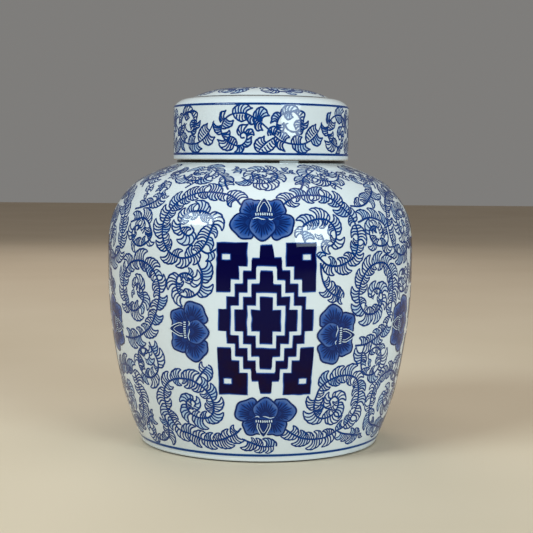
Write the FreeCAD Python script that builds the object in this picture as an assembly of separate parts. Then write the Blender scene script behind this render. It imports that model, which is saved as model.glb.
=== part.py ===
import FreeCAD, Part
import math
import os

# A ginger jar of glazed porcelain: a round-shouldered body with a short upright neck,
# and a cap-shaped lid that drops over the neck and rests on the shoulder.
# The neck is thrown in one with the body. It is a solid of its own here, which stands on the body,
# so that the corner between neck and shoulder, where the lid's rim goes, stays open to collision.
# Millimetres. The origin is the centre of the foot, +Z is up, and every solid is turned about Z.

# Driving dimensions of the body.
foot_radius = 90.4
shoulder_height = 208.9
wall = 5.5
floor_thickness = 8.0
foot_ring_width = 9.0
foot_ring_depth = 4.5
foot_ring_slope = 2.0
foot_round = 3.2
inside_foot_radius = 76.4
neck_root_height = 205.7

# The body's outside, from the foot to the shoulder, as (radius, height).
belly_outline = [
    (foot_radius, foot_round),
    (101.7, 34.2),
    (109.2, 68.4),
    (113.5, 102.6),
    (114.6, 140.0),
    (110.9, 171.0),
    (103.5, 184.5),
    (94.9, 193.8),
    (83.0, 201.0),
    (63.6, shoulder_height),
]

# Where the inside is measured in from that outline, as shares of the outline's length.
inside_shares = (0.10, 0.25, 0.42, 0.58, 0.72, 0.82, 0.90)

# Driving dimensions of the neck.
seat_height = 211.2
seat_radius = 63.3
neck_radius = 59.0
neck_wall = 5.0
bore = neck_radius - neck_wall
neck_height = 25.0
neck_chamfer = 1.2
lip_round = 1.8

# Driving dimensions of the lid.
lid_radius = 65.8
lid_wall = 4.3
lid_band_height = 39.4
lid_edge_round = 1.4
lid_shoulder_side = 3.2
lid_shoulder_rise = 3.6
lid_top_thickness = 5.0
lid_inside_round = 7.0
crown_radius = 52.8
crown_height = 45.6
groove_depth = 0.5
groove_width = 1.0
groove_inner_rise = 0.4
dome_height = 8.0
dome_edge = 9.5
dome_edge_height = 4.6
dome_start_slope = 0.62


def vec(radius, height):
    """A point of an outline, in the half plane that is turned about Z."""
    return FreeCAD.Vector(radius, 0, height)


def line(a, b):
    """A straight edge of an outline."""
    return Part.makeLine(vec(*a), vec(*b))


def arc(a, middle, b):
    """An arc of an outline through three points."""
    return Part.Arc(vec(*a), vec(*middle), vec(*b)).toShape()


def curve(points):
    """A smooth edge of an outline through the points."""
    spline = Part.BSplineCurve()
    spline.interpolate([vec(*p) for p in points])
    return spline.toShape()


def crowned(points, rise):
    """A smooth edge that leaves its first point in the direction rise and is level at its last one."""
    spline = Part.BSplineCurve()
    spline.interpolate(
        Points=[vec(*p) for p in points],
        InitialTangent=vec(*rise),
        FinalTangent=vec(-1, 0),
    )
    return spline.toShape()


def turned(edges):
    """The solid that a closed outline makes when it is turned once about Z."""
    face = Part.Face(Part.Wire(Part.__sortEdges__(edges)))
    solid = face.revolve(vec(0, 0), FreeCAD.Vector(0, 0, 1), 360)
    return solid if solid.ShapeType == "Solid" else Part.Solid(solid.Shells[0])


def quarter_round(centre, radius, start):
    """An arc of 90 degrees about centre, anticlockwise from the angle start in degrees."""
    points = []
    for step in (0, 45, 90):
        angle = math.radians(start + step)
        points.append((centre[0] + radius * math.cos(angle), centre[1] + radius * math.sin(angle)))
    return points


def inner_outline():
    """The inside of the body, one wall in from the belly's outline, from the floor to the neck's bore."""
    outside = Part.BSplineCurve()
    outside.interpolate([vec(*p) for p in belly_outline])
    first, last = outside.FirstParameter, outside.LastParameter
    points = []
    for share in inside_shares:
        parameter = first + share * (last - first)
        place = outside.value(parameter)
        direction = outside.tangent(parameter)[0]
        points.append((place.x - wall * direction.z, place.z + wall * direction.x))
    return [(inside_foot_radius, floor_thickness)] + points + [(bore, neck_root_height)]


def make_body():
    """The jar's body: foot ring, floor, belly, shoulder and the flat seat that the lid rests on."""
    ring_outside = foot_radius - foot_round
    ring_inside = ring_outside - foot_ring_width
    foot_edge = quarter_round((ring_outside, foot_round), foot_round, 270)
    inside = inner_outline()
    edges = [
        line((0, foot_ring_depth), (ring_inside - foot_ring_slope, foot_ring_depth)),
        line((ring_inside - foot_ring_slope, foot_ring_depth), (ring_inside, 0)),
        line((ring_inside, 0), foot_edge[0]),
        arc(foot_edge[0], foot_edge[1], belly_outline[0]),
        curve(belly_outline),
        line(belly_outline[-1], (seat_radius, seat_height)),
        line((seat_radius, seat_height), (bore, seat_height)),
        line((bore, seat_height), inside[-1]),
        curve(inside),
        line(inside[0], (0, floor_thickness)),
        line((0, floor_thickness), (0, foot_ring_depth)),
    ]
    return turned(edges)


def make_neck():
    """The upright neck, which stands on the shoulder inside the seat and ends in a rounded lip."""
    neck_top = seat_height + neck_height
    lip_outer = quarter_round((neck_radius - lip_round, neck_top - lip_round), lip_round, 0)
    lip_inner = quarter_round((bore + lip_round, neck_top - lip_round), lip_round, 90)
    edges = [
        line((bore, seat_height), (neck_radius + neck_chamfer, seat_height)),
        line((neck_radius + neck_chamfer, seat_height), (neck_radius, seat_height + neck_chamfer)),
        line((neck_radius, seat_height + neck_chamfer), lip_outer[0]),
        arc(*lip_outer),
        line(lip_outer[2], lip_inner[0]),
        arc(*lip_inner),
        line(lip_inner[2], (bore, seat_height)),
    ]
    return turned(edges)


def make_lid():
    """The lid: an upright band, a rounded shoulder, a fine groove and a low dome, hollow below."""
    base = seat_height
    band_top = base + lid_band_height
    crown = base + crown_height
    dome_top = crown + dome_height
    inside_radius = lid_radius - lid_wall
    inside_top = crown - lid_top_thickness
    low_edge = quarter_round((lid_radius - lid_edge_round, base + lid_edge_round), lid_edge_round, 270)
    shoulder_middle = (lid_radius - lid_shoulder_side, band_top + lid_shoulder_rise)
    groove_outer = (crown_radius + groove_width / 2, crown)
    groove_bottom = (crown_radius, crown - groove_depth)
    groove_inner = (crown_radius - groove_width / 2, crown + groove_inner_rise)
    dome_side = (crown_radius - dome_edge, crown + dome_edge_height)
    corner_centre = (inside_radius - lid_inside_round, inside_top - lid_inside_round)
    inside_corner = quarter_round(corner_centre, lid_inside_round, 0)
    edges = [
        line((inside_radius, base), low_edge[0]),
        arc(*low_edge),
        line(low_edge[2], (lid_radius, band_top)),
        arc((lid_radius, band_top), shoulder_middle, groove_outer),
        line(groove_outer, groove_bottom),
        line(groove_bottom, groove_inner),
        crowned([groove_inner, dome_side, (0, dome_top)], (-1, dome_start_slope)),
        line((0, dome_top), (0, inside_top)),
        line((0, inside_top), inside_corner[2]),
        arc(*inside_corner),
        line(inside_corner[0], (inside_radius, base)),
    ]
    return turned(edges)


parts = {"jar_body": make_body(), "neck": make_neck(), "lid": make_lid()}

os.makedirs("parts", exist_ok=True)
for name, shape in parts.items():
    if not shape.isValid():
        raise ValueError(name + " is not a valid solid")
    shape.exportStep(os.path.join("parts", name + ".step"))
    box = shape.BoundBox
    print(name, "volume", round(shape.Volume), "mm3, size", round(box.XLength, 1), round(box.ZLength, 1))
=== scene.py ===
import math
import random

import bpy
import numpy as np
from mathutils import Matrix


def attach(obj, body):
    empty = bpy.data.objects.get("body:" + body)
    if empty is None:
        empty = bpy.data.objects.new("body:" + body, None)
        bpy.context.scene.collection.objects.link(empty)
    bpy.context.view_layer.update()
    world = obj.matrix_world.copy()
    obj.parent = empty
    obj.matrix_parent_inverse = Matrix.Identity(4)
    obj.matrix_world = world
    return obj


# A blue and white ginger jar. The CAD solids carry the glaze, and the painting lies on them as thin meshes,
# 0.05 to 0.35 mm above the glaze: close enough to look like paint under it, and clear of its facets.
# The painting is drawn flat, in millimetres, in a chart of each turned surface: the first coordinate goes
# round the jar to the right of the front, the second one up along the outline.

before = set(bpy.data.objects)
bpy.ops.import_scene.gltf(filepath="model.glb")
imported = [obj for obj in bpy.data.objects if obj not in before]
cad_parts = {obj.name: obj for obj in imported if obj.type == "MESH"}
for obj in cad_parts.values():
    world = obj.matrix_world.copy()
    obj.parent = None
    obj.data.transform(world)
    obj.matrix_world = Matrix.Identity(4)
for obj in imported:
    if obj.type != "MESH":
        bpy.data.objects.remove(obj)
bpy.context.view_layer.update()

MM = 0.001
TINY = 1e-6

# Each chart has the radius at which a millimetre of chart is a millimetre of clay, and its length once round.
BELLY_RADIUS = 114.6
FOOT_ROUND = 3.2
BODY_TURN = 2 * math.pi * BELLY_RADIUS
LID_RADIUS = 65.8
LID_TURN = 2 * math.pi * LID_RADIUS

# The brush: widths of lines, the space between the veins of a leaf, and the washes that leaves may have.
STEM_WIDTH = 1.5
RIM_WIDTH = 1.32
VEIN_WIDTH = 1.1
VEIN_SPACE = 3.05
WASHES = (0.0, 0.0, 0.0, 0.08, 0.14)

# Heights of the layers of paint above the glaze, in millimetres.
WASH_LIFT = 0.05
LINE_LIFT = 0.09
PETAL_LIFT = 0.12
LAYER = 0.06


# ---- surfaces


def outer_rows(node, lowest):
    """(radius, height) of the rings of vertices outside a turned node, from the height lowest up."""
    least_outward = 0.05
    least_upward = 0.5
    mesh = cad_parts[node].data
    rows = set()
    for face in mesh.polygons:
        radius = math.hypot(face.center.x, face.center.y)
        outward = (face.normal.x * face.center.x + face.normal.y * face.center.y) / max(radius, TINY)
        if outward > least_outward or (face.normal.z > least_upward and node == "lid"):
            for index in face.vertices:
                place = mesh.vertices[index].co
                if place.z > lowest * MM - TINY:
                    rows.add((round(math.hypot(place.x, place.y) / MM, 3), round(place.z / MM, 3)))
    return np.array(sorted(rows, key=lambda row: row[1] - row[0]))


def lengths(steps):
    """The length of each step."""
    return np.hypot(*steps.T)


def gone_along(steps):
    """The distance gone at each point of a line, from the steps between its points."""
    return np.concatenate([[0], np.cumsum(lengths(steps))])


def at_places(places, known, values):
    """The two columns of values at these places, between the known ones."""
    return np.stack([np.interp(places, known, values[:, i]) for i in (0, 1)], -1)


class Skin:
    """The outside of a turned node, as a chart: distance round at its reference radius, and distance up."""

    def __init__(self, node, lowest, reference):
        same_ring = 0.02
        rows = outer_rows(node, lowest)
        step = lengths(np.diff(rows, axis=0))
        rows = rows[np.concatenate([[True], step > same_ring])]
        self.rows = self.with_ends(rows)
        self.reference = reference
        self.arc = gone_along(np.diff(self.rows, axis=0))
        slope = np.gradient(self.rows, self.arc, axis=0)
        self.normals = np.stack([slope[:, 1], -slope[:, 0]], 1)

    @staticmethod
    def with_ends(rows, straight=12.0, margin=0.4):
        """rows with a point near both ends of long straight stretches, which keeps their slope exact."""
        out = [rows[0]]
        for a, b in zip(rows, rows[1:]):
            length = np.hypot(*(b - a))
            if length > straight:
                out += [a + (b - a) * margin / length, b - (b - a) * margin / length]
            out.append(b)
        return np.array(out)

    def scale(self, chart):
        """Millimetres of clay in a millimetre of chart, round the jar."""
        return np.interp(chart[..., 1], self.arc, self.rows[:, 0]) / self.reference

    def place(self, chart, lift):
        """Positions in metres and normals of chart points, lift above the glaze."""
        angle = chart[:, 0] / self.reference
        radius, height = at_places(chart[:, 1], self.arc, self.rows).T
        out, up = at_places(chart[:, 1], self.arc, self.normals).T
        length = np.hypot(out, up)
        out, up = out / length, up / length
        radius = radius + lift * out
        points = np.stack([radius * np.sin(angle), -radius * np.cos(angle), height + lift * up], 1)
        normals = np.stack([out * np.sin(angle), -out * np.cos(angle), up], 1)
        return points * MM, normals


class Crown(Skin):
    """The top of the lid, as a chart seen from above: right, and towards the back."""

    def __init__(self, skin, widest):
        inside = skin.rows[:, 0] <= widest
        self.rows = skin.rows[inside][::-1]
        self.normals = skin.normals[inside][::-1]

    def scale(self, chart):
        """The chart is seen from straight above, so it has the same scale everywhere."""
        return np.ones(chart.shape[:-1])

    def place(self, chart, lift):
        """Positions in metres and normals of chart points, lift above the glaze."""
        radius = np.hypot(chart[:, 0], chart[:, 1])
        height = np.interp(radius, self.rows[:, 0], self.rows[:, 1])
        out, up = at_places(radius, self.rows[:, 0], self.normals).T
        side = chart / np.maximum(radius, TINY)[:, None]
        points = np.stack([chart[:, 0], chart[:, 1], height + lift], 1)
        normals = np.stack([out * side[:, 0], out * side[:, 1], up], 1)
        return points * MM, normals / np.linalg.norm(normals, axis=1)[:, None]


def smooth(points, spacing=0.8):
    """Points about spacing apart on a smooth curve through the given ones."""
    points = np.array(points, float)
    if len(points) < 2:
        return points
    ends = np.vstack([2 * points[0] - points[1], points, 2 * points[-1] - points[-2]])
    out = []
    for a, b, c, d in zip(ends, ends[1:], ends[2:], ends[3:]):
        count = max(1, int(np.hypot(*(c - b)) / spacing + 0.5))
        t = np.linspace(0, 1, count, endpoint=False)[:, None]
        square = (2 * a - 5 * b + 4 * c - d) * t**2
        cube = (3 * b - a - 3 * c + d) * t**3
        out.append(0.5 * (2 * b + (c - a) * t + square + cube))
    return np.vstack(out + [points[-1:]])


def closed(points, spacing=1.0):
    """A smooth closed outline through the points, without its first point again at the end."""
    points = [tuple(p) for p in points]
    curve = smooth(points[-2:] + points + points[:2], spacing)
    start = np.argmin(lengths(curve - points[0]))
    past_start = start + 3
    end = past_start + np.argmin(lengths(curve[past_start:] - points[0]))
    return curve[start:end]


def bezier(a, middle, b, count=7):
    """Points on a curve from a to b that bends towards middle."""
    t = np.linspace(0, 1, count)[:, None]
    return (1 - t) ** 2 * a + 2 * t * (1 - t) * middle + t**2 * b


def true_steps(skin, line):
    """The steps between the points of a chart line, in true millimetres."""
    step = np.diff(line, axis=0)
    step[:, 0] *= skin.scale((line[1:] + line[:-1]) / 2)
    return step


def directions(skin, line):
    """Unit vectors along a chart line, in true millimetres."""
    step = true_steps(skin, line)
    step /= np.maximum(lengths(step), TINY)[:, None]
    along = np.vstack([step[:1], step[1:] + step[:-1], step[-1:]])
    return along / np.maximum(lengths(along), TINY)[:, None]


def moved(skin, chart, shift):
    """Chart points moved by true millimetres."""
    chart = np.asarray(chart, float)
    return np.stack([chart[..., 0] + shift[..., 0] / skin.scale(chart), chart[..., 1] + shift[..., 1]], -1)


def across(along):
    """The direction to the left of each direction."""
    return np.stack([-along[..., 1], along[..., 0]], -1)


def rotation(degrees):
    """The matrix that turns column vectors anticlockwise."""
    angle = math.radians(degrees)
    return np.array([[math.cos(angle), -math.sin(angle)], [math.sin(angle), math.cos(angle)]])


# ---- brushwork


class Paint:
    """Strokes and fills on one surface, which become one thin mesh."""

    def __init__(self, name, skin):
        self.name = name
        self.skin = skin
        self.points = []
        self.normals = []
        self.ink = []
        self.faces = []
        self.count = 0

    def add(self, grid, inks, lift, around=False):
        """A sheet of paint on rows of chart points, with an ink for each row. around closes the rows."""
        rows, columns = grid.shape[:2]
        points, normals = self.skin.place(grid.reshape(-1, 2), lift)
        self.points.append(points)
        self.normals.append(normals)
        self.ink.append(np.repeat(inks, columns))
        index = np.arange(rows * columns).reshape(rows, columns)
        if around:
            index = np.hstack([index, index[:, :1]])
        a, b, c, d = index[:-1, :-1], index[:-1, 1:], index[1:, 1:], index[1:, :-1]
        faces = np.stack([a, b, c, d], -1).reshape(-1, 4)
        middle = faces[len(faces) // 2]
        a, b, c, d = points[middle]
        if np.dot(np.cross(c - a, d - b), normals[middle[0]]) < 0:
            faces = faces[:, ::-1]
        self.faces.append(self.count + faces)
        self.count += rows * columns

    def stroke(self, line, width, ink=0.9, lift=LINE_LIFT, start=0.6, end=0.35, soft=0.86):
        """A brush stroke: full width in its middle, start and end of it at its ends, and soft edges."""
        line = np.asarray(line, float)
        if len(line) < 2:
            return
        side = across(directions(self.skin, line))
        t = np.linspace(0, 1, len(line))
        half = width / 2 * np.interp(t, [0, 0.25, 0.7, 1], [start, 1, 1, end])[:, None]
        grid = np.stack([moved(self.skin, line, side * half), line, moved(self.skin, line, -side * half)])
        self.add(grid, ink * np.array([soft, 1, soft]), lift)

    def fill(self, outline, inner, shares, inks, lift):
        """Paint between a closed outline and the point inside it."""
        outline = np.asarray(outline, float)
        grid = np.stack([inner + (outline - inner) * share for share in shares])
        self.add(grid, inks, lift, around=True)

    def ring(self, turn, height, edges, inks, count):
        """A line once round, between edges above and below a height of the chart."""
        line = np.stack([np.linspace(0, turn, count, endpoint=False), np.full(count, height)], 1)
        self.add(np.stack([line + (0, edge) for edge in edges]), inks, LINE_LIFT, around=True)

    def make(self, material, body, slot):
        """The finished piece, which rides on a body."""
        mesh = bpy.data.meshes.new(self.name)
        faces = np.concatenate(self.faces)
        mesh.from_pydata(np.concatenate(self.points).tolist(), [], faces.tolist())
        ink = mesh.attributes.new("ink", "FLOAT", "POINT")
        ink.data.foreach_set("value", np.concatenate(self.ink).astype(np.float32))
        mesh.polygons.foreach_set("use_smooth", [True] * len(mesh.polygons))
        mesh.normals_split_custom_set_from_vertices(np.concatenate(self.normals).tolist())
        piece = bpy.data.objects.new(self.name, mesh)
        bpy.context.scene.collection.objects.link(piece)
        mesh.materials.append(material)
        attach(piece, body)
        return piece


# ---- leaves and scrolls


class Paper:
    """Which places of a chart are already painted."""

    def __init__(self, turn, height, cell=0.5):
        self.cell = cell
        self.columns = int(turn / cell)
        self.rows = int(height / cell)
        self.turn = turn
        self.taken = np.zeros((self.rows, self.columns), bool)

    def cells(self, chart):
        """The row and column of the cell of each chart point."""
        column = np.floor(chart[..., 0] / self.turn * self.columns).astype(int) % self.columns
        row = np.floor(chart[..., 1] / self.cell).astype(int)
        return row, column

    def mark(self, chart, reach):
        """Takes the cells of these points, and reach cells round them."""
        row, column = self.cells(chart)
        for down in range(-reach, reach + 1):
            for right in range(-reach, reach + 1):
                rows = np.clip(row + down, 0, self.rows - 1)
                self.taken[rows, (column + right) % self.columns] = True

    def busy(self, chart):
        """The share of these points that are taken. All of them, if any is outside."""
        row, column = self.cells(chart)
        inside = (row >= 0) & (row < self.rows)
        if not inside.all():
            return 1.0
        return float(self.taken[row, column].mean())


class FlatPaper(Paper):
    """Paper that doesn't go round: a disc seen from above."""

    def __init__(self, radius, cell=0.5):
        super().__init__(2 * radius, 2 * radius, cell)
        self.radius = radius

    def cells(self, chart):
        """The row and column of the cell of each chart point. Its row is -1 outside the disc."""
        row, column = super().cells(chart + self.radius)
        row = np.where(np.hypot(chart[..., 0], chart[..., 1]) > self.radius, -1, row)
        return row, column


class Vine:
    """A stem on a skin, by distance along it."""

    def __init__(self, skin, points):
        self.skin = skin
        self.line = smooth(points)
        self.arc = gone_along(true_steps(skin, self.line))
        self.length = self.arc[-1]
        self.along = directions(skin, self.line)

    def at(self, distance):
        """Chart points and directions at these distances. It goes on straight past its ends."""
        distance = np.asarray(distance, float)
        point = at_places(distance, self.arc, self.line)
        along = at_places(distance, self.arc, self.along)
        along /= np.hypot(along[..., 0], along[..., 1])[..., None]
        past = np.clip(distance - self.length, 0, None) - np.clip(-distance, 0, None)
        return moved(self.skin, point, along * past[..., None]), along

    def bend(self, distance, reach=2.5):
        """How much it turns to the left there."""
        a, b = self.at(np.array([distance - reach, distance + reach]))[1]
        return float(a[0] * b[1] - a[1] * b[0])


# A half palm leaf. Its first finger takes more of the rim, its veins spread a little unevenly along the foot,
# and each vein leaves the stem leaning back, and more so the nearer it is to the tip.
FIRST_FINGER = 0.10
VEIN_CROWDING = 0.9
VEIN_RISE = 0.64
VEIN_BACK = (0.12, 0.24)
SCALLOP = 0.21
LAST_SCALLOP = 0.3


def palm_veins(skin, foot, starts, ends, shares):
    """The veins of a leaf, from its foot to its rim."""
    along = directions(skin, foot)
    veins = []
    for start, end, share in zip(starts, ends, shares):
        here = along[min(int(share * (len(foot) - 1)), len(foot) - 1)]
        up = across(here)
        tall = np.dot((end - start) * (skin.scale(end), 1), up)
        back = VEIN_BACK[0] + VEIN_BACK[1] * share**2
        middle = moved(skin, start, up * tall * VEIN_RISE - here * abs(tall) * back)
        veins.append(bezier(start, middle, end))
    return veins


def palm_edge(rim, gone, places, ends, centre):
    """The scalloped outline of a leaf, which swells away from its centre between the ends of its veins."""
    edge = [rim[:1]]
    before, place_before = rim[0], 0
    for after, place in zip(ends, places):
        chord = after - before
        push = np.array([chord[1], -chord[0]]) * SCALLOP
        between = rim[(gone > place_before) & (gone < place)]
        middle = between.mean(axis=0) if len(between) else (before + after) / 2
        push *= np.sign(np.dot(push, middle - centre))
        swell = 2 * middle - (before + after) / 2 + push * (LAST_SCALLOP if place == places[-1] else 1.0)
        edge.append(bezier(before, swell, after, 6)[1:])
        before, place_before = after, place
    return np.vstack(edge)


def palm(skin, foot, outline, fingers):
    """A half palm leaf: its scalloped outline, and the veins that part its fingers.

    foot is the stretch of stem that it grows from, from the near end of its outline to its last vein.
    """
    rim = smooth(outline, 0.5)
    gone = gone_along(np.diff(rim, axis=0))
    shares = np.arange(1, fingers + 1) / fingers
    places = gone[-1] * (FIRST_FINGER + (1 - FIRST_FINGER) * shares)
    places[-1] = gone[-1]
    ends = at_places(places, gone, rim)
    reach = gone_along(np.diff(foot, axis=0))
    starts = at_places(shares**VEIN_CROWDING * reach[-1], reach, foot)
    edge = palm_edge(rim, gone, places, ends, starts.mean(axis=0))
    return edge, palm_veins(skin, foot, starts, ends, shares)


def leaf(vine, start, side, way, length, height, curl):
    """The foot and the outline of a half palm leaf on one side of a vine. Its tip points to way."""
    t = np.linspace(0, 1, 7)
    foot, along = vine.at(start + way * length * 0.85 * t)
    along = along * way
    out = across(along) * side * way

    def above(step, rise, ahead):
        """A point of the outline by a step of the foot, these shares of the leaf's height from it."""
        return moved(vine.skin, foot[step], out[step] * height * rise + along[step] * height * ahead)

    outline = [
        foot[0],
        above(1, 0.52, -0.12),
        above(3, 0.92, -0.04),
        above(5, 1.08, -0.02),
        above(6, 1.12, 0.10 + 0.15 * curl),
        above(6, 1.10 - 0.2 * curl, 0.32 + 0.25 * curl),
    ]
    return foot, outline


def spiral(skin, centre, radius, turn, hand, turns=1.5, innermost=0.20):
    """A spiral that winds in to its centre, starting in the direction turn in degrees."""
    count = int(turns * 8) + 1
    shifts = []
    for i in range(count):
        angle = math.radians(turn) + hand * i * math.pi / 4
        reach = radius * (1 - (1 - innermost) * i / (count - 1))
        shifts.append((reach * math.cos(angle), reach * math.sin(angle)))
    return moved(skin, np.broadcast_to(np.array(centre, float), (count, 2)), np.array(shifts))


def disc(skin, middle, radius):
    """Points spread over a disc."""
    shifts = [(0, 0)]
    for share in (0.35, 0.7, 1.0):
        for i in range(12):
            angle = i * math.pi / 6
            shifts.append((radius * share * math.cos(angle), radius * share * math.sin(angle)))
    return moved(skin, np.broadcast_to(middle, (len(shifts), 2)), np.array(shifts))


# How leaves differ along a vine: length and height outside and inside its bends, curl of the tip, gap to the
# next one, and how many point back along the stem. Where there is no room for a leaf, it shrinks.
OUTER_LENGTH, OUTER_HEIGHT = (8.0, 12.0), (6.0, 7.8)
INNER_LENGTH, INNER_HEIGHT = (5.5, 8.0), (4.6, 6.2)
LEAF_CURL = (0.15, 0.6)
LEAF_GAP = (0.4, 1.2)
LEAF_BACKWARD = 0.85
LEAF_SHRINKS = (1.0, 0.85, 0.7, 0.55)
MOST_TAKEN = 0.06

# A vine longer than this has smaller leaves towards its end.
LONG_VINE = 60.0


class Garden:
    """Vines with leaves on one chart, and the paints that take them."""

    def __init__(self, skin, paper, paint_for, seed):
        self.skin = skin
        self.paper = paper
        self.paint_for = paint_for
        self.draw = random.Random(seed)
        self.vines = []

    def stem(self, points, width=STEM_WIDTH, start=4.0, size=1.0):
        """Paints a stem, in stretches that each go to the paint they lie on, and keeps it to be dressed."""
        vine = Vine(self.skin, points)
        line = vine.line
        stretch = 60
        for begin in range(0, len(line) - 1, stretch):
            part = line[begin:begin + stretch + 1]
            end = 1.0 if begin + stretch < len(line) - 1 else 0.5
            self.paint_for(part[len(part) // 2]).stroke(part, width, 0.95, start=1.0, end=end)
        self.paper.mark(line, 1)
        self.vines.append((vine, start, size))

    def try_leaf(self, vine, start, side, way, length, height, curl):
        """Grows a leaf on a vine, if its place is free."""
        foot, outline = leaf(vine, start, side, way, length, height, curl)
        fingers = max(2, round((length + height * 0.5) / VEIN_SPACE))
        brush = min(1.0, 0.55 + length / 18)
        return self.grow(foot, outline, fingers, brush, check=True)

    def grow(self, foot, outline, fingers, brush, check=False):
        """Paints a leaf, unless its place is taken."""
        edge, veins = palm(self.skin, foot, outline, fingers)
        inside = np.vstack([edge[4:]] + [vein[2:] for vein in veins])
        if check and self.paper.busy(inside) > MOST_TAKEN:
            return False
        paint = self.paint_for(edge[len(edge) // 2])
        tone = self.draw.choice(WASHES)
        if tone:
            whole = np.vstack([edge, veins[-1][-2::-1], foot[-2:0:-1]])
            paint.fill(whole, whole.mean(axis=0), [0, 0.5, 1], [tone, tone, tone * 0.8], WASH_LIFT)
        paint.stroke(edge, RIM_WIDTH * brush, self.draw.uniform(0.9, 1.0), start=0.9, end=0.7)
        for vein in veins[:-1]:
            paint.stroke(vein, VEIN_WIDTH * brush, self.draw.uniform(0.84, 1.0), start=1.1, end=0.7)
        paint.stroke(veins[-1], RIM_WIDTH * brush, 0.95, start=1.0, end=0.7)
        self.paper.mark(np.vstack([edge] + veins), 1)
        return True

    def dress(self):
        """Leaves along both sides of every new vine, as large as there is room for, and a fan at its end."""
        for vine, begin, size in self.vines:
            for side in (1, -1):
                distance = begin + self.draw.uniform(0, 2.5)
                while distance < vine.length - 3:
                    distance += self.one_leaf(vine, distance, side, size)
            for side in (1, -1):
                self.try_leaf(vine, vine.length - 2.5, side, 1, 3.6 * size, 4.2 * size, 0.4)
        self.vines = []

    def fill_gaps(self, low, high, reach, spacing=4.0):
        """Short sprigs in the gaps between the heights low and high that have room for a disc of reach."""
        columns = np.arange(0, self.paper.turn, spacing)
        places = [(x, y) for x in columns for y in np.arange(low, high, spacing)]
        self.draw.shuffle(places)
        for middle in np.array(places):
            if self.paper.busy(disc(self.skin, middle, reach)) > 0:
                continue
            angle = self.draw.uniform(0, 2 * math.pi)
            along = reach * np.array([math.cos(angle), math.sin(angle)])
            bow = across(along) * self.draw.choice((0.3, -0.3))
            shifts = np.array([-1.1 * along, bow - 0.4 * along, bow + 0.3 * along, 0.7 * along - bow])
            line = moved(self.skin, np.broadcast_to(middle, shifts.shape), shifts)
            self.stem(line, STEM_WIDTH * 0.8, 0.5, reach / 8)
            self.dress()

    def one_leaf(self, vine, distance, side, size):
        """Tries to set a leaf there. The distance to the next try."""
        outer = vine.bend(distance + 3) * side < 0.02
        way = -1 if self.draw.random() < LEAF_BACKWARD else 1
        if vine.length > LONG_VINE:
            size *= min(1, 0.6 + (vine.length - distance) / LONG_VINE)
        wide = self.draw.uniform(*(OUTER_LENGTH if outer else INNER_LENGTH))
        tall = self.draw.uniform(*(OUTER_HEIGHT if outer else INNER_HEIGHT))
        curl = self.draw.uniform(*LEAF_CURL)
        for share in LEAF_SHRINKS:
            length = wide * size * share
            height = tall * size * (0.4 + 0.6 * share)
            start = distance if way > 0 else distance + length * 0.8
            if start < vine.length + 2 and self.try_leaf(vine, start, side, way, length, height, curl):
                return length * 0.85 + height * 0.12 + self.draw.uniform(*LEAF_GAP)
        return 1.2


# ---- flowers


# The outlines of a flower's left petals, its front petal and its bud, in millimetres round its centre.
LOW_PETAL = [(-6, -1), (-14, 2.5), (-20, 1), (-22.5, -4), (-20, -10), (-14, -14), (-7, -14.5), (-5, -8)]
FRONT_PETAL = [(-8, -2), (-8.5, -7), (-5, -13), (1, -15.5), (7, -13), (10.5, -7), (9, -2), (4, 1), (-4, 1)]
HIGH_PETAL = [(-6, 0), (-14, 2), (-16, 7), (-13, 12.5), (-9, 14.5), (-5, 12.5), (-1, 13.2), (1, 10), (-1, 3)]
BUD = [(-3, 4), (-2.5, 8), (2.3, 14.8), (7, 8), (7, 4), (2, 2.5)]
BUD_MIDDLE = (2.2, 7)
NARROWING = (0.91, 1.0)
PETAL_SHARES = [0, 0.35, 0.7, 0.93, 1]
PETAL_INKS = [0.85, 0.68, 0.56, 0.5, 0.6]

# Two crescents under the bud, which are left white.
CRESCENTS = [[(-6, -1.2), (-3, -0.2), (0.5, -1.2), (3, -1.5)], [(5.5, -0.8), (7, -1.6), (9, -1.0)]]


def mirrored(petal, reach):
    """A petal's outline on the other side of a flower, where x becomes reach - x."""
    return [(reach - x, y) for x, y in petal]


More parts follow.
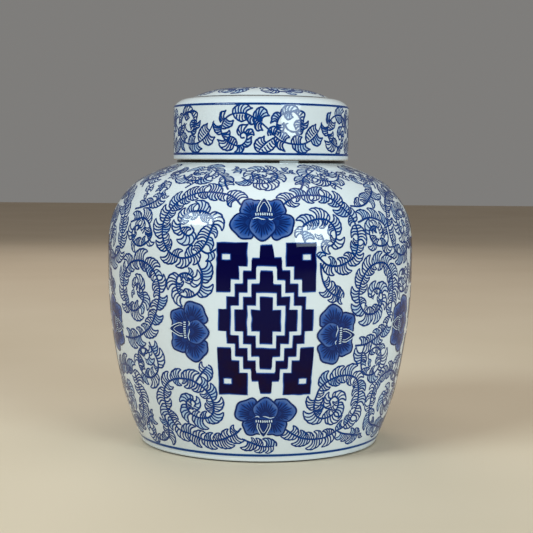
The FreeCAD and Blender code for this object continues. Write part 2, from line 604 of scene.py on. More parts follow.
class Flower:
    """A flower in its own millimetres, its bud upwards, set in the chart by centre, turn and size."""

    def __init__(self, skin, paint, centre, turn, size):
        self.skin = skin
        self.paint = paint
        self.centre = np.array(centre, float)
        self.turning = rotation(turn) * size * np.array(NARROWING)

    def chart(self, points):
        """The chart points of these points of the flower."""
        shift = np.asarray(points, float) @ self.turning.T
        return moved(self.skin, np.broadcast_to(self.centre, shift.shape), shift)

    def petal(self, outline, root, lift, veins, lobes):
        """A petal that is dark at its root and pale at its rim, with an outline and fine veins."""
        edge = closed(outline)
        ray = edge - root
        angle = np.arctan2(ray[:, 1], ray[:, 0])
        edge = root + ray * (1 + 0.035 * np.sin(lobes * angle))[:, None]
        self.paint.fill(self.chart(edge), self.chart([root]), PETAL_SHARES, PETAL_INKS, lift)
        line_lift = lift + LAYER / 2
        self.paint.stroke(self.chart(np.vstack([edge, edge[:1]])), 1.25, 1.0, line_lift, 1, 1, 0.75)
        reach = lengths(edge - root)
        for number in range(veins):
            i = round(number * (len(edge) - 1) / veins)
            if reach[i] < 6.5:
                continue
            share = 0.74 if number % 2 else 0.86
            ends = [root + (edge[i] - root) * part for part in (0.3, share)]
            self.paint.stroke(self.chart(smooth(ends, 1.6)), 1.05, 1.0, line_lift, 1, 0.5, 0.8)

    def white(self, points, width, ink, lift, start, end):
        """A fine line that is left white on the cobalt."""
        self.paint.stroke(self.chart(smooth(points, 1.0)), width, ink, lift, start, end, 1)

    def draw(self):
        """Two high petals, two low ones, the front one and the bud, each over the last, with white lines."""
        # Mirrored outlines are reversed, so that every outline runs the same way round.
        right_high = mirrored([(x * 1.03, y * 0.97) for x, y in HIGH_PETAL], 2.2)[::-1]
        right_low = mirrored(LOW_PETAL, 2.0)[::-1]
        self.petal(HIGH_PETAL, (-4.5, 1.5), PETAL_LIFT, 15, 9)
        self.petal(right_high, (6.5, 1.5), PETAL_LIFT, 15, 9)
        self.petal(LOW_PETAL, (-6.5, -3), PETAL_LIFT + LAYER, 17, 8)
        self.petal(right_low, (8.5, -3), PETAL_LIFT + LAYER, 17, 8)
        self.petal(FRONT_PETAL, (1, -0.5), PETAL_LIFT + 2 * LAYER, 19, 7)
        top = PETAL_LIFT + 3 * LAYER
        line_lift = top + 0.05
        bud = self.chart(closed(BUD))
        self.paint.fill(bud, self.chart([BUD_MIDDLE]), [0, 0.6, 1], [0.8, 0.85, 0.95], top)
        for inset, width in ((1.0, 0.5), (0.66, 0.32)):
            arch = [(2.2 + (x - 2.2) * inset, 5 + (y - 5) * inset) for x, y in BUD[:5]]
            self.white(arch, width, 0.0, line_lift, 1, 1)
        for i in range(8):
            x = -4.0 + i * 1.7
            drop = 0.1 * abs(i - 3.5)
            self.white([(x, 3.4 - drop), (x + 0.2, 1.6 - drop)], 0.75, 0.04, line_lift, 1, 0.8)
        for crescent in CRESCENTS:
            self.white(crescent, 0.6, 0.05, line_lift, 0.4, 0.3)

    def cover(self, paper):
        """Takes the flower's place on the paper."""
        petals = [LOW_PETAL, FRONT_PETAL, HIGH_PETAL, BUD, mirrored(LOW_PETAL, 2), mirrored(HIGH_PETAL, 2)]
        for petal in petals:
            edge = closed(petal)
            middle = edge.mean(axis=0)
            for share in np.linspace(0.1, 1.04, 26):
                paper.mark(self.chart(middle + (edge - middle) * share), 1)


# ---- the scrolls, in millimetres of chart


# Round each panel's centre.
PANEL_VINES = [
    [(14.5, 180.5), (18.5, 184), (22, 186.5), (28, 189.5), (38, 190.5), (50, 189.5), (57, 186.5),
     (62, 181.5), (66, 177), (70, 172), (72, 165), (72.5, 158), (71, 150), (68, 145), (62, 141.5),
     (55, 139.5), (47, 140.5), (42, 144.5), (36, 150), (31, 156), (29, 162), (30, 167), (37, 171),
     (47, 171.5), (53, 166), (54, 159), (50, 153.5), (45, 156), (43, 161)],
    [(42, 142), (42.5, 135), (44.5, 128), (48.5, 122.5), (54, 119), (58, 118)],
    [(20, 25), (28, 20), (36, 16.5), (45, 15), (55, 15), (62, 17), (68, 20), (74, 22), (80, 28), (84, 36),
     (84, 44), (82, 52), (79, 58), (72, 61.5), (63, 62), (55, 60), (47, 55), (44, 48), (43, 42), (44, 36),
     (48, 32), (54, 31), (60, 33), (64, 38), (64, 44), (60, 47), (56, 44), (58, 40)],
    [(-14, 182), (-20, 188), (-27, 191), (-38, 192.5), (-48, 192), (-57, 189), (-65, 184), (-70, 177),
     (-73, 169), (-73, 161), (-70, 153), (-66, 148), (-58, 144.5), (-52, 144.5), (-46, 146.5), (-41, 150),
     (-37, 156), (-35, 162), (-33, 169), (-36, 174), (-42, 177), (-52, 176), (-58, 170), (-57, 163),
     (-51, 159.5), (-47, 163), (-50, 167)],
    [(-41, 150), (-36, 148), (-30, 151), (-25, 156)],
    [(-43, 141), (-40, 134), (-40, 128), (-43, 121), (-50, 117.5), (-57, 119), (-60, 126), (-58, 132),
     (-52, 134), (-47, 131), (-49, 127), (-53, 128)],
    [(-14, 25), (-18, 21), (-25, 17.5), (-35, 14), (-45, 13.5), (-55, 16), (-62, 18), (-68, 19),
     (-73, 23), (-77, 30), (-79, 38), (-79, 46), (-77, 51), (-72, 56), (-64, 59), (-55, 59.5),
     (-48, 57.5), (-42, 54), (-37, 48), (-35, 42), (-36, 36), (-40, 32), (-47, 31), (-54, 33), (-58, 37),
     (-58, 42), (-54, 45), (-50, 42), (-52, 39)],
    [(-48, 58), (-44, 63), (-38, 70)],
    [(-14, 16.5), (-5, 13), (3, 10.5), (13, 10.5)],
]

# Between two panels, from the left panel's centre.
RIGHT_GAP_VINES = [
    [(73, 83), (84, 83.5), (96, 88), (104, 93), (109, 101), (111, 112), (111, 124), (107, 134),
     (100, 139.5), (90, 140), (82, 136.5), (76, 129), (73.5, 120), (75, 112), (80, 106), (87, 104.5),
     (94, 107), (98, 113), (97, 119), (92, 122.5), (87, 121), (85.5, 117), (88, 115)],
    [(83, 83), (81, 77), (81, 70), (84, 63), (91, 60), (99, 61), (104, 67), (103, 75), (97, 80), (90, 78),
     (88, 73), (92, 71)],
    [(74, 169), (84, 172), (92, 171.5), (100, 168), (104, 162), (104, 155), (98, 152), (90, 153),
     (85, 157), (84, 163), (88, 166), (93, 165), (95, 160)],
    [(71, 181.5), (80, 181), (88, 183), (95, 187), (103, 192), (110, 198)],
    [(68, 20), (75, 17), (85, 15), (95, 13), (100, 14)],
]

# Between two panels, from the right panel's centre.
LEFT_GAP_VINES = [
    [(-119, 84), (-110, 84), (-100, 86), (-90, 91), (-84, 96), (-79, 104), (-76, 112), (-74.5, 120),
     (-76, 128), (-81, 135), (-88, 139.5), (-96, 140.5), (-105, 138.5), (-113, 132), (-117, 122),
     (-115, 112), (-109, 105.5), (-102, 104.5), (-95, 108), (-91, 114), (-92, 120), (-97, 124),
     (-102, 121), (-101, 117)],
    [(-88, 83.5), (-84, 76), (-81, 70), (-82, 63), (-88, 58), (-96, 57), (-103, 62), (-104, 70),
     (-100, 77), (-93, 78), (-89, 74), (-92, 70), (-96, 71)],
    [(-110, 167), (-97, 170.5), (-90, 169), (-85, 164), (-83, 158), (-90, 152), (-98, 151), (-105, 156),
     (-104, 163), (-98, 165), (-94, 161)],
    [(-110, 177), (-100, 179), (-90, 183), (-82, 190)],
    [(-84, 30), (-82, 22), (-84, 13), (-92, 8), (-102, 9), (-108, 16), (-106, 24), (-98, 27)],
]

# (across, up, turn of the bud, size) of the flowers round each panel.
FLOWERS = [(0.5, 173, 0, 1.0), (6, 33.0, 180, 0.98), (57, 93, -90, 0.98), (-51.5, 93, 90, 0.98)]

# The centres of the four panels in the body's chart. A hand painter doesn't space them quite evenly.
PANEL_CENTRES = [3.0, 183.0, 359.0, 530.0]

# A panel: its middle from its centre, half its sides, its lozenges' steps, half the white gap between them,
# the middle and half the sides of the hole in each corner, and the fringe where its cobalt thins out.
PANEL_MIDDLE = (4.5, 103.0)
PANEL_HALF = (34.5, 53.0)
PANEL_STEPS = 6
PANEL_STEP = (PANEL_HALF[0] / PANEL_STEPS, PANEL_HALF[1] / PANEL_STEPS)
HALF_GAP = 1.2
PANEL_HOLE = (27.5, 43.0)
PANEL_SLIT = (2.6, 1.7)
PANEL_FRINGE = (0.6, 1.5)
PANEL_INKS = (0.44, 0.64, 1.0)

# Sprigs on the shoulder, from a place beside each panel's top flower.
SPRIG_ROOT = 28
SPRIGS = [
    [(1, 195), (5, 201), (8, 208), (17, 215), (32, 224)],
    [(40, 196), (34, 202), (30, 209)],
]

# The lid's band, in millimetres round it and up from the foot of the jar. The chart starts at LID_FOOT.
LID_FOOT = 212.6
LID_REPEATS = 5
LID_STEM = 1.3
LID_BRUSH = 1.04
LID_CLAW = 1.5
LID_FINGER = 3.0
LID_VINES = [
    [(-11.5, 227), (-14, 226.8), (-14.6, 229), (-12.5, 230.6), (-10.3, 229), (-10.3, 225.5), (-13, 222.2),
     (-17, 221.3), (-21, 222.6), (-25, 224.8), (-28, 228), (-29.3, 232), (-28.3, 236.5), (-26, 240.3),
     (-22, 243), (-17, 244.1), (-11, 243.8), (-6, 241.5), (-1, 238.3), (4, 234), (8, 230), (11, 227.2),
     (14, 225), (18, 223.6), (23, 222.7), (29, 222.6), (34, 223.8), (38, 226), (42, 229.5), (45, 233.5),
     (47.5, 239)],
    [(8.5, 229), (11, 232), (11.2, 237), (13.3, 241.8), (18, 245), (23.5, 245.6), (27.3, 242.5),
     (29, 238), (28.2, 233.6), (25, 231.4), (20.5, 232), (17.8, 234.6), (17.9, 236.8), (19.6, 237.2)],
    [(9, 227), (4, 223.6), (0.5, 220.2), (-2, 217)],
]

# Its leaves: where the outline leaves the stem, three points along it, its tip, and the end of the foot.
LID_LEAVES = [
    ((-29.3, 237.5), (-30.3, 240.5), (-29.8, 244), (-28.5, 245.3), (-26.3, 245.3), (-26.6, 240.5)),
    ((-20.2, 243.6), (-19.6, 247.5), (-14.5, 250.2), (-10, 250), (-7.3, 247.6), (-10.5, 243.8)),
    ((-19.8, 243.2), (-18, 240.6), (-15, 238.7), (-13, 238.5), (-11.6, 239.3), (-11, 243.2)),
    ((-10.2, 243), (-9.4, 239), (-8, 237), (-6.5, 236.1), (-4.8, 237), (-5.2, 240.4)),
    ((-5.4, 241.0), (-4.2, 245.2), (-0.2, 248.2), (3.4, 246.2), (4.8, 243), (0.3, 238.2)),
    ((-4.8, 240), (-4.4, 235.6), (-3.4, 232.6), (-1.8, 231.8), (0.2, 232.6), (0.8, 237)),
    ((-29.2, 229.5), (-32, 229.6), (-34, 231.4), (-35, 233.4), (-35.9, 236.7), (-29, 235.5)),
    ((-28.8, 233.5), (-26, 233.6), (-23.5, 234.3), (-21.3, 235.4), (-20.2, 238), (-25.5, 240.3)),
    ((-27, 226), (-25, 225.4), (-23.6, 227), (-22.8, 228.6), (-22.3, 231), (-28.6, 230)),
    ((-19.5, 221.8), (-21.5, 218.4), (-26, 218.4), (-29.8, 220.6), (-31.3, 225), (-26.5, 225.4)),
    ((-17.2, 221.8), (-17.6, 223.8), (-18.2, 225.5), (-19.6, 226.8), (-21.6, 227.6), (-24, 224.4)),
    ((-13.2, 222), (-12.3, 219), (-13.4, 217.2), (-15.2, 216.3), (-17.8, 216.6), (-17.2, 221.4)),
    ((-13.4, 221.6), (-10, 220.4), (-7.8, 222.3), (-6.8, 224.3), (-7.3, 226.8), (-10.2, 225.9)),
    ((-15.4, 228.4), (-17, 231.4), (-15.6, 234.4), (-13.2, 236), (-10.2, 235.6), (-11.6, 230.6)),
    ((-11, 230.2), (-9.6, 232.2), (-7.6, 232.9), (-6, 232), (-5.2, 229.8), (-10.2, 227.6)),
    ((5.4, 228.2), (5.0, 231.2), (6.6, 233.8), (9, 234.8), (12, 233.8), (10.8, 229.2)),
    ((11.6, 228.4), (13.6, 230.9), (16, 230.6), (18, 229.7), (19.6, 228.2), (17, 224.1)),
    ((9.6, 227.6), (10.2, 223.4), (11.6, 220.6), (13.6, 219), (16.2, 218), (16.6, 224)),
    ((22, 223.2), (22.6, 226), (24.2, 228), (26.4, 228.8), (28.9, 227.8), (29.2, 222.8)),
    ((22.6, 222.4), (24.2, 219.2), (28.2, 216.9), (32.4, 216.8), (35.8, 219), (33, 223.2)),
    ((34.3, 224.4), (33.2, 228.4), (34.8, 232.2), (37.4, 234.9), (40.8, 236.4), (43.6, 232.2)),
    ((37.8, 225.4), (40, 222.8), (42.6, 221.9), (45.4, 222.8), (47.6, 226.6), (43, 230.2)),
    ((14.2, 242.8), (11.2, 244.8), (9, 243.4), (7.8, 241.4), (7.2, 238.2), (11.3, 237.8)),
    ((14, 242.6), (15.4, 247.6), (20, 250), (24.6, 249.2), (27.8, 246.2), (24.6, 245.4)),
    ((26.6, 243.6), (28.6, 245.9), (31, 245.4), (32.1, 243.2), (30.7, 239.5), (28.8, 239.4)),
    ((28.4, 233.8), (31, 233.7), (33, 234.2), (34.2, 235.4), (35, 238), (29, 238.2)),
    ((25, 231.3), (27, 229.6), (29, 229.8), (30.2, 231), (31, 233.2), (28.2, 233.2)),
    ((10.8, 231.6), (13, 230.9), (15, 231.9), (16, 233.6), (16.2, 236.4), (11.3, 236.4)),
    ((17.0, 244.4), (17.2, 241.8), (18.6, 240.2), (20.3, 240.1), (21.8, 241.2), (21.6, 245.4)),
    ((28.6, 239.4), (25.8, 238.9), (24.2, 237.3), (24.0, 235.8), (25.0, 234.2), (28.5, 234.8)),
    ((-2, 217), (-4.4, 220.6), (-4, 223.8), (-1.8, 226.2), (1.5, 227.3), (4, 223.6)),
    ((-1.6, 217), (3, 216.7), (7, 218.2), (9.4, 220.4), (10.8, 223), (9, 226.4)),
]

# (height, width) of the lines below and above the band, and a petal of the flower on the lid's top.
LID_RINGS = ((215.6, 1.7), (250.9, 1.8))
TOP_PETAL = [(0.5, 0), (3, 3.4), (7, 4.4), (10, 2.4), (10.8, 0), (10, -2.4), (7, -4.4), (3, -3.4)]


# ---- surfaces and paints of this jar


# Radii of the groove's painted shade line, of the chart of the lid's top and of the part of it that is
# painted.
GROOVE_RADIUS = 52.3
CROWN_RADIUS = 52.2
CROWN_PAPER = 50.5

body_skin = Skin("jar_body", FOOT_ROUND, BELLY_RADIUS)
lid_skin = Skin("lid", LID_FOOT, LID_RADIUS)
crown_skin = Crown(lid_skin, CROWN_RADIUS)
body_paper = Paper(BODY_TURN, 232)
scroll_paints = [Paint("scrolls_" + name, body_skin) for name in ("front", "right", "back", "left")]
flower_paint = Paint("flowers", body_skin)
panel_paint = Paint("fret_panels", body_skin)
line_paint = Paint("foot_line", body_skin)
lid_paint = Paint("lid_scrolls", lid_skin)
lid_line_paint = Paint("lid_lines", lid_skin)
crown_paint = Paint("lid_top_painting", crown_skin)
groove_shade_paint = Paint("lid_groove_painted_shade", lid_skin)


def sector(point):
    """Which quarter of the body a chart point is on."""
    return int(round(point[0] / BODY_TURN * 4)) % 4


def next_panel(number):
    """The centre of the panel to the right of this one, a turn further on if it is the first one again."""
    return PANEL_CENTRES[(number + 1) % 4] + (BODY_TURN if number == 3 else 0)


# ---- the lid


def draw_lid_band():
    """The scrolls round the lid's band."""
    garden = Garden(lid_skin, Paper(LID_TURN, 50), lambda point: lid_paint, 3)
    period = LID_TURN / LID_REPEATS
    for number in range(LID_REPEATS):
        shift = np.array([number * period, -LID_FOOT])
        for vine in LID_VINES:
            garden.stem(np.array(vine) + shift, LID_STEM)
        for points in LID_LEAVES:
            outline = np.array(points[:5]) + shift
            foot = smooth([outline[0], points[5] + shift], 0.6)
            forward = foot[-1] - foot[0]
            long = np.hypot(*forward)
            tall = np.hypot(*(outline[2] - foot.mean(axis=0)))
            outline = np.vstack([outline, outline[4] + forward / long * LID_CLAW])
            garden.grow(foot, outline, max(3, round((tall + long) / LID_FINGER)), LID_BRUSH)


def draw_lid_lines():
    """The lines below and above the band, and a ring of painted shade in the groove."""
    for height, width in LID_RINGS:
        edges = [share * width for share in (0.5, 0.25, -0.25, -0.5)]
        lid_line_paint.ring(LID_TURN, height - LID_FOOT, edges, [0.45, 0.95, 0.95, 0.45], 240)
    # The ring in the groove is a grey painted shade.
    groove = np.interp(-GROOVE_RADIUS, -lid_skin.rows[:, 0], lid_skin.arc)
    groove_shade_paint.ring(LID_TURN, groove, [0.9, 0.5, -0.3, -0.7], [0.6, 1, 1, 0.8], 240)


def draw_lid_top():
    """Eight small spirals round a flower with five petals."""
    first_turn = 20
    out = 35.5
    garden = Garden(crown_skin, FlatPaper(CROWN_PAPER), lambda point: crown_paint, 8)
    for number in range(8):
        turn = number * 45 + first_turn
        middle = (out * math.cos(math.radians(turn)), out * math.sin(math.radians(turn)))
        garden.stem(spiral(crown_skin, middle, 12, turn + 100, 1 if number % 2 else -1), 2.2, size=0.9)
    for number in range(5):
        rotate = rotation(number * 72 + first_turn)
        edge = closed(TOP_PETAL) @ rotate.T
        crown_paint.fill(edge, np.array([6, 0]) @ rotate.T, [0, 0.5, 1], [0.5, 0.45, 0.4], WASH_LIFT)
        crown_paint.stroke(np.vstack([edge, edge[:1]]), 1.0, 0.95, start=1, end=1)
        for y in (-1.4, 0, 1.4):
            crown_paint.stroke(np.array([(3, y), (8.5, y * 1.5)]) @ rotate.T, 0.6)
        garden.paper.mark(edge, 3)
    garden.dress()


# ---- the panels


def wavy(outline, amount, draw):
    """An outline with the small unevenness of a hand-held brush."""
    waves = [(draw.uniform(2, 9), draw.uniform(0, 6.3)) for _ in range(4)]
    t = np.linspace(0, 2 * math.pi, len(outline), endpoint=False)
    push = sum(np.sin(np.round(count) * t + phase) for count, phase in waves) * amount / 2
    ray = outline - outline.mean(axis=0)
    return outline + ray / lengths(ray)[:, None] * push[:, None]


def polygon(corners, spacing):
    """Points along a closed polygon with straight sides."""
    corners = np.array(corners, float)
    out = []
    for a, b in zip(corners, np.roll(corners, -1, axis=0)):
        count = max(2, int(np.hypot(*(b - a)) / spacing))
        out.append(a + (b - a) * np.linspace(0, 1, count, endpoint=False)[:, None])
    return np.vstack(out)


def matched(outline, centre, angles):
    """The points of a closed outline in these directions from centre."""
    ray = outline - centre
    angle = np.arctan2(ray[:, 1], ray[:, 0])
    order = np.argsort(angle)
    distance = np.interp(angles, angle[order], lengths(ray)[order], period=2 * math.pi)
    return centre + np.stack([np.cos(angles), np.sin(angles)], 1) * distance[:, None]


def stepped(steps, grow):
    """The corners of a lozenge with stepped sides, this many steps from its middle to its side."""
    quarter = []
    for i in range(steps):
        y = (steps - i) * PANEL_STEP[1] + grow
        quarter += [(i * PANEL_STEP[0] + (grow if i else 0), y), ((i + 1) * PANEL_STEP[0] + grow, y)]
    quarter = quarter[1:]
    right = quarter + [(x, -y) for x, y in quarter[::-1]]
    return right + [(-x, -y) for x, y in right]


def paint_band(outer, inner, inner_inks):
    """Heavy cobalt between two outlines, which thins out to a brighter fringe at its edges."""
    ray = outer - inner
    length = np.maximum(lengths(ray), 0.1)[:, None]
    reach = [ray * np.minimum(distance / length, 0.3) for distance in (0, *PANEL_FRINGE)]
    near = [inner + step for step in reach]
    far = [outer - step for step in reach[::-1]]
    middle = [near[-1] + (far[0] - near[-1]) * share for share in (0.2, 0.4, 0.6, 0.8)]
    inks = inner_inks + (1.0,) * len(middle) + PANEL_INKS[::-1]
    panel_paint.add(np.stack(near + middle + far), inks, PETAL_LIFT, around=True)


def corner_outline():
    """The outline of a panel's upper right corner, which steps down beside the outermost lozenge."""
    half_x, half_y = PANEL_HALF
    wide, tall = PANEL_STEP
    corners = [(half_x, half_y), (2 * wide + HALF_GAP, half_y)]
    for i in range(2, PANEL_STEPS - 1):
        y = (PANEL_STEPS - i) * tall + HALF_GAP
        corners += [(i * wide + HALF_GAP, y), ((i + 1) * wide + HALF_GAP, y)]
    return np.array(corners + [(half_x, 2 * tall + HALF_GAP)])


def draw_panel(offset, draw):
    """A bold fret of stepped lozenges inside one another, with pierced corners."""
    middle = np.array(PANEL_MIDDLE) + (offset, 0)
    angles = np.linspace(-math.pi, math.pi, 240, endpoint=False) + 0.01

    def outline(steps, grow):
        """A lozenge's outline, as a brush leaves it."""
        edge = polygon(np.array(stepped(steps, grow)) + middle, 0.5)
        return wavy(matched(edge, middle, angles), 0.22, draw)

    paint_band(outline(2, -HALF_GAP), np.broadcast_to(middle, (len(angles), 2)), (1.0, 1.0, 1.0))
    for steps in (2, 4):
        paint_band(outline(steps + 2, -HALF_GAP), outline(steps, HALF_GAP), PANEL_INKS)
    for side in ((1, 1), (1, -1), (-1, 1), (-1, -1)):
        hole = np.array(PANEL_HOLE) * side + middle
        edge = matched(polygon(corner_outline() * side + middle, 0.5), hole, angles)
        inner = matched(polygon(rectangle(PANEL_SLIT) + hole, 0.3), hole, angles)
        paint_band(wavy(edge, 0.2, draw), inner, PANEL_INKS)
    edge = polygon(rectangle(PANEL_HALF) + middle, 1.6)
    for share in np.linspace(0.05, 1.02, 70):
        body_paper.mark(middle + (edge - middle) * share, 1)


def rectangle(half):
    """The corners of a rectangle about the origin, from half its sides."""
    x, y = half
    return np.array([(x, y), (-x, y), (-x, -y), (x, -y)])


# ---- the body


def draw_flowers():
    """Four flowers round each panel."""
    for centre in PANEL_CENTRES:
        for x, y, turn, size in FLOWERS:
            flower = Flower(body_skin, flower_paint, (centre - PANEL_CENTRES[0] + x, y), turn, size)
            flower.draw()
            flower.cover(body_paper)


def draw_scrolls(garden):
    """The scrolls round each panel, and the two kinds of scrolls between panels in turn."""
    for number, centre in enumerate(PANEL_CENTRES):
        gap = (LEFT_GAP_VINES, next_panel(number)) if number % 2 else (RIGHT_GAP_VINES, centre)
        for vines, place in ((PANEL_VINES, centre), gap):
            for vine in vines:
                garden.stem([(x + place - PANEL_CENTRES[0], y) for x, y in vine])


def draw_shoulder(garden):
    """Twelve spirals round the lid, with sprigs between them."""
    for number, centre in enumerate(PANEL_CENTRES):
        following = next_panel(number)
        third = (following - centre) / 3
        spirals = [(centre - 2, 214, 1), (centre + third, 217, -1), (centre + 2 * third, 217, 1)]
        for place, height, hand in spirals:
            turn = 200 if hand > 0 else -20
            garden.stem(spiral(body_skin, (place, height), 14.0, turn, hand), size=0.9)
        for side, root in ((1, centre + SPRIG_ROOT), (-1, following - SPRIG_ROOT)):
            for sprig in SPRIGS:
                garden.stem([(root + side * x, y) for x, y in sprig], size=0.8)


def draw_body():
    """The painting of the body. The biggest shapes come first, and the leaves take the room that is left."""
    garden = Garden(body_skin, body_paper, lambda point: scroll_paints[sector(point)], 11)
    for x in np.arange(0, BODY_TURN, body_paper.cell):
        body_paper.mark(np.array([(x, y) for y in (0.5, 1.5, 2.5, 3.5)]), 1)
    draw_flowers()
    panel_draw = random.Random(5)
    for centre in PANEL_CENTRES:
        draw_panel(centre - PANEL_CENTRES[0], panel_draw)
    draw_scrolls(garden)
    draw_shoulder(garden)
    garden.dress()
    for reach in (8.0, 6.0):
        garden.fill_gaps(9, 228, reach)
    line_paint.ring(BODY_TURN, 2.9, [1.1, 0.45, -0.45, -1.1], [0.3, 0.9, 0.9, 0.3], 360)


# ---- materials


# The glaze where it is thin and where it pools, the bare clay, and a near-black painted shade that stands for
# the shadow on the body's bare seat under the lid and on its foot.
GLAZE = (0.68, 0.70, 0.71)
GLAZE_DEEP = (0.64, 0.67, 0.69)
CLAY = (0.50, 0.44, 0.36)
# A near-black painted shade for the body's bare seat under the lid and its foot on the floor.
SEAT_AND_FOOT_PAINTED_SHADE = (0.020, 0.016, 0.013)
GLAZE_GLOSS = 0.27
PANEL_GLOSS = 0.13

# The colours that paint takes as its ink gets stronger.
PALE_BLUE = (0.30, 0.42, 0.60)
NAVY = (0.0005, 0.0005, 0.035)
PLUM = (0.007, 0.0005, 0.014)
LINE_STOPS = [
    (0.0, GLAZE),
    (0.2, (0.27, 0.42, 0.60)),
    (0.5, (0.012, 0.112, 0.35)),
    (0.75, (0.002, 0.048, 0.215)),
    (1.0, (0.001, 0.018, 0.12)),
]
PETAL_STOPS = [
    (0.0, (0.62, 0.70, 0.76)),
    (0.3, PALE_BLUE),
    (0.55, (0.010, 0.060, 0.27)),
    (0.72, (0.003, 0.026, 0.15)),
    (0.95, (0.001, 0.012, 0.09)),
]
PANEL_STOPS = [(0.0, GLAZE), (0.3, PALE_BLUE), (0.6, (0.006, 0.045, 0.25)), (0.85, NAVY)]
# A grey painted shade for the lid's groove, where the real groove is deeper and in shadow.
GROOVE_SHADE_STOPS = [(0.0, GLAZE), (0.5, (0.25, 0.25, 0.25)), (0.9, (0.075, 0.068, 0.066))]

# Heights in metres between which the panels' cobalt turns from plum to navy, and the inks for it.
PLUM_HEIGHTS = (0.095, 0.135)
PLUM_INKS = (0.86, 0.95)

BLACK = (0, 0, 0)
WHITE = (1, 1, 1)


def new_material(name):
    """A material with its node tree, its shader and the object's own coordinates."""
    material = bpy.data.materials.new(name)
    material.use_nodes = True
    tree = material.node_tree
    places = tree.nodes.new("ShaderNodeTexCoord").outputs["Object"]
    return material, tree, tree.nodes["Principled BSDF"], places


def noise(tree, scale, detail, places):
    """Noise from 0 to 1, of this scale per metre."""
    texture = tree.nodes.new("ShaderNodeTexNoise")
    texture.inputs["Scale"].default_value = scale
    texture.inputs["Detail"].default_value = detail
    tree.links.new(places, texture.inputs["Vector"])
    return texture.outputs["Fac"]


def math_node(tree, operation, *values):
    """The result of an operation on numbers or sockets."""
    node = tree.nodes.new("ShaderNodeMath")
    node.operation = operation
    for socket, value in zip(node.inputs, values):
        if isinstance(value, (int, float)):
            socket.default_value = value
        else:
            tree.links.new(value, socket)
    return node.outputs[0]


def ramp(tree, value, stops):
    """A colour for each value, from (value, colour) stops."""
    node = tree.nodes.new("ShaderNodeValToRGB")
    elements = node.color_ramp.elements
    while len(elements) < len(stops):
        elements.new(1.0)
    for element, (place, colour) in zip(elements, stops):
        element.position = place
        element.color = (*colour, 1)
    tree.links.new(value, node.inputs["Fac"])
    return node.outputs["Color"]


def mix_colours(tree, share, a, b):
    """Colour a where share is 0, and colour b where it is 1."""
    mix = tree.nodes.new("ShaderNodeMix")
    mix.data_type = "RGBA"
    for socket, value in (("Factor", share), ("A", a), ("B", b)):
        tree.links.new(value, mix.inputs[socket])
    return mix.outputs["Result"]


def axes(tree, places):
    """The x, y and z of the coordinates."""
    split = tree.nodes.new("ShaderNodeSeparateXYZ")
    tree.links.new(places, split.inputs[0])
    return split.outputs


def ink_strength(tree):
    """How strong the paint is at each point of a piece."""
    ink = tree.nodes.new("ShaderNodeAttribute")
    ink.attribute_name = "ink"
    return ink.outputs["Fac"]


def gloss(tree, shader, places, level):
    """The glaze's own surface: glossy, and very slightly uneven."""
    shader.inputs["Specular IOR Level"].default_value = level
    shader.inputs["IOR"].default_value = 1.5
    rough = math_node(tree, "MULTIPLY_ADD", noise(tree, 60, 2, places), 0.025, 0.012)
    tree.links.new(rough, shader.inputs["Roughness"])
    bump = tree.nodes.new("ShaderNodeBump")
    bump.inputs["Strength"].default_value = 0.022
    bump.inputs["Distance"].default_value = 0.0006
    tree.links.new(noise(tree, 40, 0, places), bump.inputs["Height"])
    tree.links.new(bump.outputs["Normal"], shader.inputs["Normal"])


def glaze_material(name, bare_below, bare_above, bare_beyond, clay_or_painted_shade):
    """White glaze that pools faintly blue. It is bare low down, and high up beyond a radius, where it takes
    the colour given: the clay's own on the neck and lid, and a near-black painted shade on the body.
    """
    material, tree, shader, places = new_material(name)
    gloss(tree, shader, places, GLAZE_GLOSS)
    glaze = ramp(tree, noise(tree, 14, 3, places), [(0.35, GLAZE), (0.7, GLAZE_DEEP)])
    x, y, z = axes(tree, places)
    below = math_node(tree, "LESS_THAN", z, bare_below)
    above = math_node(tree, "GREATER_THAN", z, bare_above)
    squares = [math_node(tree, "MULTIPLY", axis, axis) for axis in (x, y)]
    beyond = math_node(tree, "GREATER_THAN", math_node(tree, "ADD", *squares), bare_beyond**2)
    bare = math_node(tree, "MAXIMUM", below, math_node(tree, "MULTIPLY", above, beyond))
    deep_clay_or_shade = tuple(c * 0.75 for c in clay_or_painted_shade)
    clay_or_shade_colour = ramp(tree, noise(tree, 400, 4, places), [(0.3, clay_or_painted_shade), (0.7, deep_clay_or_shade)])
    tree.links.new(mix_colours(tree, bare, glaze, clay_or_shade_colour), shader.inputs["Base Color"])
    return material


def paint_material(name, stops, uneven, level=GLAZE_GLOSS, fired=False):
    """Cobalt under glaze. With the groove's grey stops it is a painted shade instead. The ink attribute says
    how strong it is, and it pools unevenly.
    """
    material, tree, shader, places = new_material(name)
    gloss(tree, shader, places, level)
    pooled = math_node(tree, "MULTIPLY_ADD", noise(tree, 170, 3, places), uneven, 1 - uneven / 2)
    strength = math_node(tree, "MULTIPLY", ink_strength(tree), pooled)
    colour = ramp(tree, strength, stops)
    if fired:
        colour = fire_plum(tree, places, colour)
    tree.links.new(colour, shader.inputs["Base Color"])
    return material


def fire_plum(tree, places, colour):
    """The heaviest cobalt has fired to a brownish purple towards the foot."""
    wander = math_node(tree, "MULTIPLY", noise(tree, 24, 3, places), 0.07)
    height = math_node(tree, "ADD", axes(tree, places)["Z"], wander)
    low = ramp(tree, height, list(zip(PLUM_HEIGHTS, (WHITE, BLACK))))
    thick = ramp(tree, ink_strength(tree), list(zip(PLUM_INKS, (BLACK, WHITE))))
    plum = ramp(tree, noise(tree, 90, 3, places), [(0.3, PLUM), (0.7, NAVY)])
    return mix_colours(tree, math_node(tree, "MULTIPLY", low, thick), colour, plum)


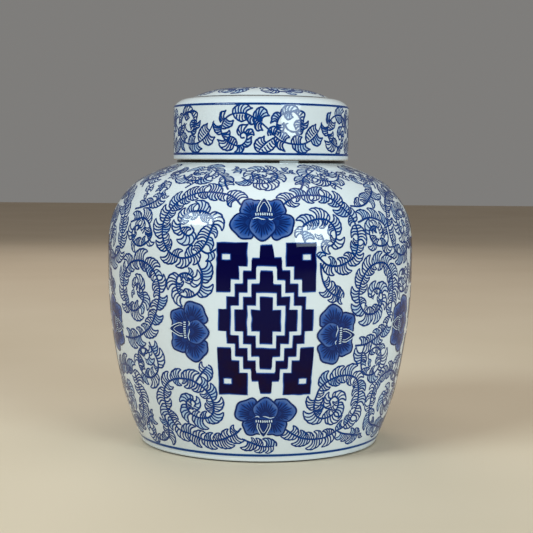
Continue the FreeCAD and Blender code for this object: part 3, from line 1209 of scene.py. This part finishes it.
groove_shade_material = paint_material("groove_shade", GROOVE_SHADE_STOPS, 0.3)
line_material = paint_material("cobalt_lines", LINE_STOPS, 0.3)
flower_material = paint_material("cobalt_petals", PETAL_STOPS, 0.22)
panel_material = paint_material("cobalt_panel", PANEL_STOPS, 0.16, PANEL_GLOSS, fired=True)

# Each node's bare clay, in metres: below a height, and above another height beyond a radius. The body's bare
# seat and foot take a near-black painted shade instead of a clay colour.
node_glazes = {
    "jar_body": glaze_material("body_glaze_white", 0.0011, 0.2091, 0.0590, SEAT_AND_FOOT_PAINTED_SHADE),
    "neck": glaze_material("neck_glaze_white", 0.0, 0.2356, 0.0, CLAY),
    "lid": glaze_material("lid_glaze_white", 0.2119, 0.2700, 0.0, CLAY),
}
for node, material in node_glazes.items():
    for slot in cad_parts[node].material_slots:
        slot.material = material

draw_body()
draw_lid_band()
draw_lid_lines()
draw_lid_top()
for paint in (lid_paint, lid_line_paint, crown_paint):
    paint.make(line_material, "lid", "lid_glaze")
groove_shade_paint.make(groove_shade_material, "lid", "lid_glaze")
for paint in scroll_paints + [line_paint]:
    paint.make(line_material, "jar", "body_glaze")
flower_paint.make(flower_material, "jar", "body_glaze")
panel_paint.make(panel_material, "jar", "body_glaze")


# ---- studio


# Lamps: place, size, power, colour, spread in degrees, and whether the glaze mirrors them.
DAYLIGHT = (0.75, 0.94, 1)
LAMPS = {
    "window_right": ((1.22, -1.55, 0.635), (0.92, 0.74), 7.4, DAYLIGHT, 90, True),
    "window_left": ((-1.33, -1.08, 1.24), (0.86, 0.62), 6.6, DAYLIGHT, 90, True),
    "overhead": ((0.1, -0.2, 2.6), (2.4, 1.7), 15, (1, 0.90, 0.78), 180, True),
    "back_fill": ((-0.7, 2.3, 1.7), (1.6, 1.2), 9, (1, 0.97, 0.93), 120, False),
}
JAR_MIDDLE = (0, 0, 0.13)
ROOM_COLOUR = (0.84, 0.82, 0.79, 1)
ROOM_STRENGTH = 0.25
FLOOR_REACH = 6.0
FLOOR_COLOURS = ((0.66, 0.54, 0.40), (0.70, 0.58, 0.44))

CAMERA_PLACE = (0, -0.9769, 0.2073)
CAMERA_LENS = 87.02
CAMERA_SHIFT = 0.01214
CAMERA_TILT = 85.526
CAMERA_ROLL = 0.441


def aim(thing, target):
    """Points a lamp at a target."""
    direction = np.array(target) - np.array(thing.location)
    thing.rotation_euler = (
        math.atan2(math.hypot(direction[0], direction[1]), -direction[2]),
        0,
        math.atan2(-direction[0], direction[1]),
    )


def softbox(name, place, size, power, colour, spread, in_reflections):
    """A rectangular lamp that shines on the jar."""
    light = bpy.data.lights.new(name, "AREA")
    light.shape = "RECTANGLE"
    light.size, light.size_y = size
    light.energy = power
    light.spread = math.radians(spread)
    light.color = colour
    lamp = bpy.data.objects.new(name, light)
    lamp.location = place
    lamp.visible_glossy = in_reflections
    bpy.context.scene.collection.objects.link(lamp)
    aim(lamp, JAR_MIDDLE)


def make_floor():
    """A plain pale floor."""
    mesh = bpy.data.meshes.new("floor")
    corners = [(-1, -1), (1, -1), (1, 1), (-1, 1)]
    mesh.from_pydata([(x * FLOOR_REACH, y * FLOOR_REACH, 0) for x, y in corners], [], [(0, 1, 2, 3)])
    floor = bpy.data.objects.new("floor", mesh)
    bpy.context.scene.collection.objects.link(floor)
    material, tree, shader, places = new_material("floor_pale")
    shader.inputs["Roughness"].default_value = 0.8
    shader.inputs["Specular IOR Level"].default_value = 0.1
    colour = ramp(tree, noise(tree, 3, 2, places), list(zip((0.3, 0.7), FLOOR_COLOURS)))
    tree.links.new(colour, shader.inputs["Base Color"])
    mesh.materials.append(material)


def make_studio():
    """The lamps and the light of the room."""
    for name, lamp in LAMPS.items():
        softbox(name, *lamp)
    world = bpy.data.worlds.new("studio")
    world.use_nodes = True
    room = world.node_tree.nodes["Background"]
    room.inputs["Color"].default_value = ROOM_COLOUR
    room.inputs["Strength"].default_value = ROOM_STRENGTH
    bpy.context.scene.world = world
    bpy.context.scene.view_settings.view_transform = "Standard"


def make_camera():
    """The camera, a little above the jar's middle, tilted down and rolled slightly."""
    data = bpy.data.cameras.new("camera")
    data.lens = CAMERA_LENS
    data.sensor_width = 36
    data.shift_x = CAMERA_SHIFT
    camera = bpy.data.objects.new("camera", data)
    tilt = Matrix.Rotation(math.radians(CAMERA_TILT), 4, "X")
    roll = Matrix.Rotation(math.radians(CAMERA_ROLL), 4, "Z")
    camera.matrix_world = Matrix.Translation(CAMERA_PLACE) @ tilt @ roll
    bpy.context.scene.collection.objects.link(camera)
    bpy.context.scene.camera = camera


make_floor()
make_studio()
make_camera()
